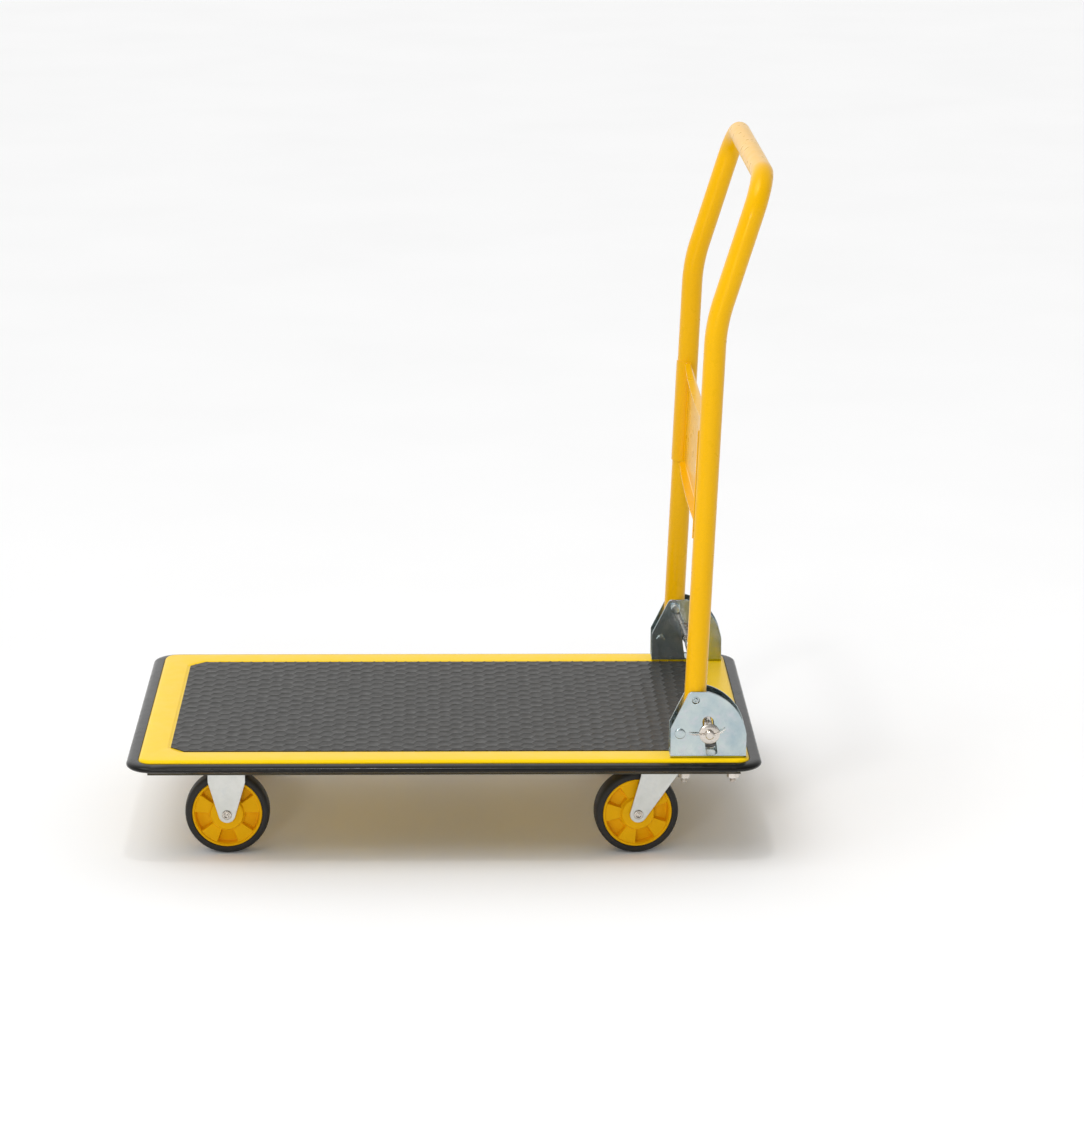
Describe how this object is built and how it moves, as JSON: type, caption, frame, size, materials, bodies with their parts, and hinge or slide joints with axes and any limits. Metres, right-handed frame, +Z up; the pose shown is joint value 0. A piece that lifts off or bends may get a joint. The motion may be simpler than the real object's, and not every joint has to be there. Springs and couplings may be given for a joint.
{
  "type": "folding platform cart",
  "caption": "Folding platform cart: flat deck with a ribbed rubber mat and a bumper, two fixed and two swivel casters, and a bent tube push handle that folds down onto the deck.",
  "frame": {"origin": "on the floor under the middle of the deck", "axes": "+Z up, +X along the deck towards the handle, +Y across the deck"},
  "size_m": [0.7432, 0.48, 0.8248],
  "materials": {
    "deck_paint": "satin enamel",
    "handle_paint": "gloss enamel",
    "frame_steel": "matt",
    "bumper_rubber": "satin",
    "mat_rubber": "matt",
    "zinc": "bright zinc plate",
    "caster_zinc": "satin zinc plate",
    "bolt_steel": "zinc plate",
    "spring_steel": "satin",
    "rim_plastic": "satin",
    "tyre_rubber": "matt"
  },
  "bodies": {
    "deck": {"deck_pan": "deck_paint", "side_rails": "frame_steel", "cross_channels": "frame_steel", "mid_channel": "frame_steel", "bumper": "bumper_rubber", "deck_mat": "mat_rubber", "hinge_bracket_near": "zinc", "hinge_bracket_far": "zinc", "bracket_bolts": "bolt_steel", "bracket_washers": "bolt_steel", "bracket_nuts": "bolt_steel", "pivot_pins": "bolt_steel", "stop_pins": "bolt_steel", "fixed_fork_near": "caster_zinc", "fixed_fork_far": "caster_zinc", "fixed_axle_bolts": "bolt_steel", "fixed_axle_nuts": "bolt_steel", "swivel_top_plates": "caster_zinc", "kingpins": "bolt_steel", "swivel_balls": "bolt_steel", "caster_bolts": "bolt_steel", "caster_nuts": "bolt_steel"},
    "handle": {"handle_tube": "handle_paint", "handle_panel": "handle_paint"},
    "release_rod": {"release_rod": "bolt_steel", "rod_washers": "bolt_steel", "rod_split_pins": "bolt_steel", "release_spring_near": "spring_steel", "release_spring_far": "spring_steel"},
    "swivel_near": {"swivel_fork_near": "caster_zinc", "swivel_axle_bolt_near": "bolt_steel", "swivel_axle_nut_near": "bolt_steel"},
    "swivel_far": {"swivel_fork_far": "caster_zinc", "swivel_axle_bolt_far": "bolt_steel", "swivel_axle_nut_far": "bolt_steel"},
    "wheel_fixed_near": {"rim_fixed_near": "rim_plastic", "tyre_fixed_near": "tyre_rubber", "bush_fixed_near": "bolt_steel"},
    "wheel_fixed_far": {"rim_fixed_far": "rim_plastic", "tyre_fixed_far": "tyre_rubber", "bush_fixed_far": "bolt_steel"},
    "wheel_swivel_near": {"rim_swivel_near": "rim_plastic", "tyre_swivel_near": "tyre_rubber", "bush_swivel_near": "bolt_steel"},
    "wheel_swivel_far": {"rim_swivel_far": "rim_plastic", "tyre_swivel_far": "tyre_rubber", "bush_swivel_far": "bolt_steel"}
  },
  "joints": [
    {"name": "handle_fold", "type": "hinge", "parent": "deck", "child": "handle", "pos_m": [0.2914, 0, 0.2046], "axis": [0, -1, 0], "range_deg": [0, 97]},
    {"name": "release_press", "type": "slide", "parent": "deck", "child": "release_rod", "axis": [0.1271, 0, -0.9919], "range_m": [0, 0.0165], "stiffness_N_per_m": 400, "springref_m": -0.03, "deforming": ["release_spring_near", "release_spring_far"]},
    {"name": "swivel_near_turn", "type": "hinge", "parent": "deck", "child": "swivel_near", "pos_m": [0.2515, -0.151, 0.1], "axis": [0, 0, 1], "continuous": true},
    {"name": "swivel_far_turn", "type": "hinge", "parent": "deck", "child": "swivel_far", "pos_m": [0.2515, 0.151, 0.1], "axis": [0, 0, 1], "continuous": true},
    {"name": "wheel_fixed_near_spin", "type": "hinge", "parent": "deck", "child": "wheel_fixed_near", "pos_m": [-0.2567, -0.151, 0.05], "axis": [0, 1, 0], "continuous": true},
    {"name": "wheel_fixed_far_spin", "type": "hinge", "parent": "deck", "child": "wheel_fixed_far", "pos_m": [-0.2567, 0.151, 0.05], "axis": [0, 1, 0], "continuous": true},
    {"name": "wheel_swivel_near_spin", "type": "hinge", "parent": "swivel_near", "child": "wheel_swivel_near", "pos_m": [0.22669, -0.15405, 0.05], "axis": [-0.1219, 0.9925, 0], "continuous": true},
    {"name": "wheel_swivel_far_spin", "type": "hinge", "parent": "swivel_far", "child": "wheel_swivel_far", "pos_m": [0.22656, 0.15274, 0.05], "axis": [0.0698, 0.9976, 0], "continuous": true}
  ]
}
